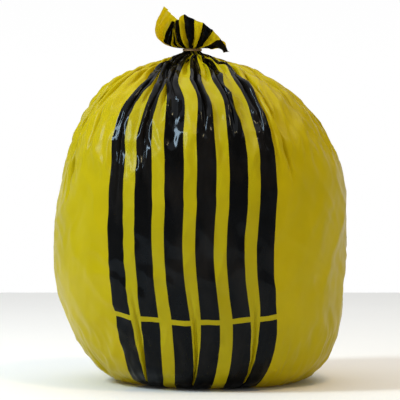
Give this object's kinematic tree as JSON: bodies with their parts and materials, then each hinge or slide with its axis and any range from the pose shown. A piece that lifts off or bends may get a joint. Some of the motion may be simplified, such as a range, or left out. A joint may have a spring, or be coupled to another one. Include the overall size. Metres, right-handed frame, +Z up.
{
  "type": "tied clinical waste sack",
  "caption": "Full sack of striped yellow polythene film for clinical waste, gathered into a neck, tied with a rubber band and flared above the band.",
  "frame": {"origin": "middle of the flattened base, on the floor", "axes": "+Z up, the printed side faces -Y, +X to the right of someone who looks at the print"},
  "size_m": [0.4566, 0.4492, 0.5834],
  "materials": {
    "printed_film": "thin glossy yellow polythene film with glossy black printed stripes on the front",
    "rubber_band": "plain tan rubber"
  },
  "bodies": {
    "root": {"bag": "printed_film", "neck_tie": "rubber_band"}
  },
  "joints": []
}
